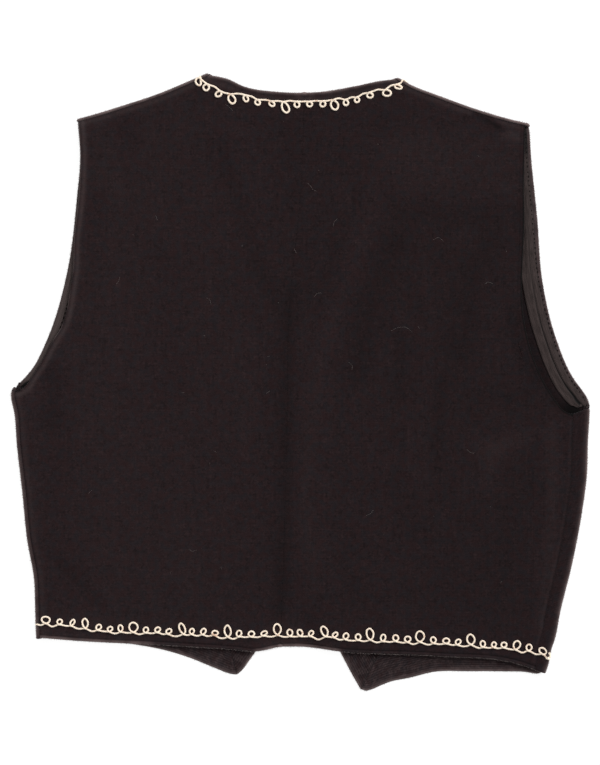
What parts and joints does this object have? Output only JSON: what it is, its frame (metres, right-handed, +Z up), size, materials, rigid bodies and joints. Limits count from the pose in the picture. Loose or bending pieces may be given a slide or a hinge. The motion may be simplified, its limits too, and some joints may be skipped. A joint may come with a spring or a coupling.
{
  "type": "waistcoat-style knitted vest",
  "caption": "Cropped sleeveless waistcoat-style vest in fine ribbed cloth, laid flat face down, its buttoned fronts lapped under the seamed back and their points below the hem.",
  "frame": {"origin": "on the surface that the vest lies on, under the middle of its footprint", "axes": "+Z up off the surface, +Y up the back towards the neck, +X towards the wearer's right"},
  "size_m": [0.5202, 0.5576, 0.0085],
  "materials": {
    "cloth": "matt black knit with very fine ribs",
    "facing": "smooth brown-black facing with a slight sheen",
    "band": "black ribbed knit, ribs along each edge",
    "trim": "cream chain-stitch thread with a soft sheen",
    "button": "plain satin black"
  },
  "bodies": {
    "root": {"back_left": "cloth", "back_right": "cloth", "front_left": "cloth", "front_right": "cloth", "armhole_facing_left": "facing", "armhole_facing_right": "facing", "hem_band_left": "band", "hem_band_right": "band", "edge_band_left": "band", "edge_band_right": "band", "button_1": "button", "button_2": "button", "button_3": "button", "button_4": "button"}
  },
  "joints": []
}
